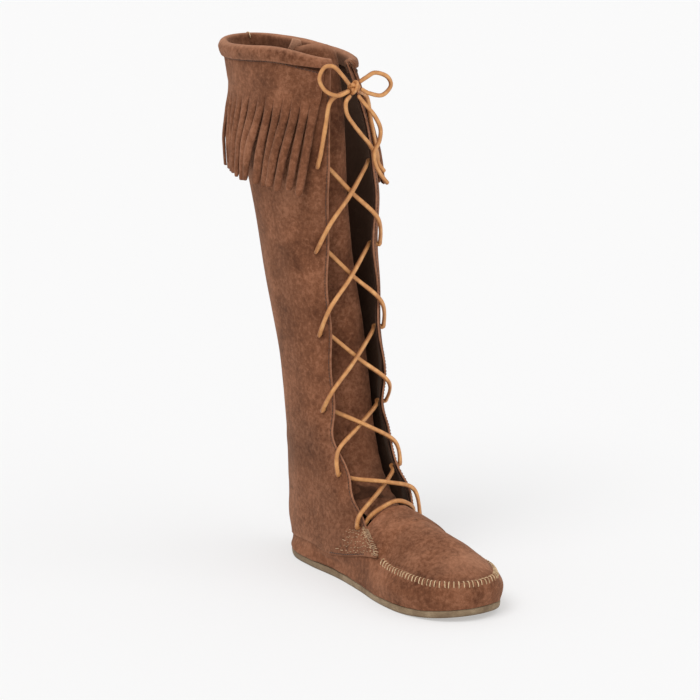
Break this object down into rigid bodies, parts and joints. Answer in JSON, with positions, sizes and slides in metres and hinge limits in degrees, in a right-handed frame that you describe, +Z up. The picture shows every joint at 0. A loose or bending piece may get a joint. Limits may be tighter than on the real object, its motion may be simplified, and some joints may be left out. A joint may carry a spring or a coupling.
{
  "type": "moccasin",
  "caption": "Knee-high soft suede boot, open and laced up the front over a tongue, with a moccasin toe seam, a rolled collar, a cut fringe and a thin rubber sole.",
  "frame": {"origin": "in the flat face of the sole, on the middle line of the foot", "axes": "+Z up the leg, -Y towards the toe, -X towards the wearer's outer side"},
  "size_m": [0.1215, 0.3104, 0.432],
  "materials": {
    "suede": "matt brushed suede",
    "dark_suede": "matt suede, flesh side",
    "crepe_sole": "matt crepe rubber",
    "lace_leather": "smooth oiled leather",
    "thread": "waxed cream thread",
    "board": "pressed fibre board",
    "footbed": "padded lining"
  },
  "bodies": {
    "boot": {"outsole": "crepe_sole", "insole_board": "board", "footbed": "footbed", "vamp": "suede", "plug": "suede", "moc_stitching": "thread", "shaft_lateral": "suede", "shaft_medial": "suede", "back_seam_strip": "suede", "heel_counter": "board", "facing_lateral": "dark_suede", "facing_medial": "dark_suede", "collar": "suede", "fringe_band": "suede", "lace": "lace_leather", "bow_knot": "lace_leather", "bow_loop_left": "lace_leather", "bow_loop_right": "lace_leather"},
    "tongue": {"tongue": "suede"},
    "fringe_1": {"fringe_1": "suede"},
    "fringe_2": {"fringe_2": "suede"},
    "fringe_3": {"fringe_3": "suede"},
    "fringe_4": {"fringe_4": "suede"},
    "fringe_5": {"fringe_5": "suede"},
    "fringe_6": {"fringe_6": "suede"},
    "fringe_7": {"fringe_7": "suede"},
    "fringe_8": {"fringe_8": "suede"},
    "lace_tails": {"lace_tail_left": "lace_leather", "lace_tail_right": "lace_leather"}
  },
  "joints": [
    {"name": "tongue_lean", "type": "hinge", "parent": "boot", "child": "tongue", "pos_m": [0, -0.014, 0.0585], "axis": [1, 0, 0], "range_deg": [-8, 0]},
    {"name": "fringe_1_swing", "type": "hinge", "parent": "boot", "child": "fringe_1", "pos_m": [-0.05816, 0.04706, 0.38538], "axis": [-0.4915, 0.8549, 0.166], "range_deg": [0, 70]},
    {"name": "fringe_2_swing", "type": "hinge", "parent": "boot", "child": "fringe_2", "pos_m": [-0.06946, 0.09257, 0.38676], "axis": [-0.0315, 0.9987, -0.0393], "range_deg": [0, 70]},
    {"name": "fringe_3_swing", "type": "hinge", "parent": "boot", "child": "fringe_3", "pos_m": [-0.06183, 0.14347, 0.3873], "axis": [0.3797, 0.9231, 0.0609], "range_deg": [0, 70]},
    {"name": "fringe_4_swing", "type": "hinge", "parent": "boot", "child": "fringe_4", "pos_m": [-0.03766, 0.17174, 0.38965], "axis": [0.9048, 0.4242, 0.0373], "range_deg": [0, 70]},
    {"name": "fringe_5_swing", "type": "hinge", "parent": "boot", "child": "fringe_5", "pos_m": [-0.00628, 0.17202, 0.39014], "axis": [0.869, -0.4947, -0.0129], "range_deg": [0, 70]},
    {"name": "fringe_6_swing", "type": "hinge", "parent": "boot", "child": "fringe_6", "pos_m": [0.01203, 0.14596, 0.38883], "axis": [0.3221, -0.9451, -0.0555], "range_deg": [0, 70]},
    {"name": "fringe_7_swing", "type": "hinge", "parent": "boot", "child": "fringe_7", "pos_m": [0.01802, 0.09991, 0.38628], "axis": [-0.0111, -0.9984, -0.0562], "range_deg": [0, 70]},
    {"name": "fringe_8_swing", "type": "hinge", "parent": "boot", "child": "fringe_8", "pos_m": [0.01103, 0.05329, 0.38363], "axis": [-0.3367, -0.9404, -0.0481], "range_deg": [0, 70]},
    {"name": "lace_tails_swing", "type": "hinge", "parent": "boot", "child": "lace_tails", "pos_m": [-0.0227, 0.0182, 0.3958], "axis": [-1, 0, 0], "range_deg": [0, 60]}
  ]
}
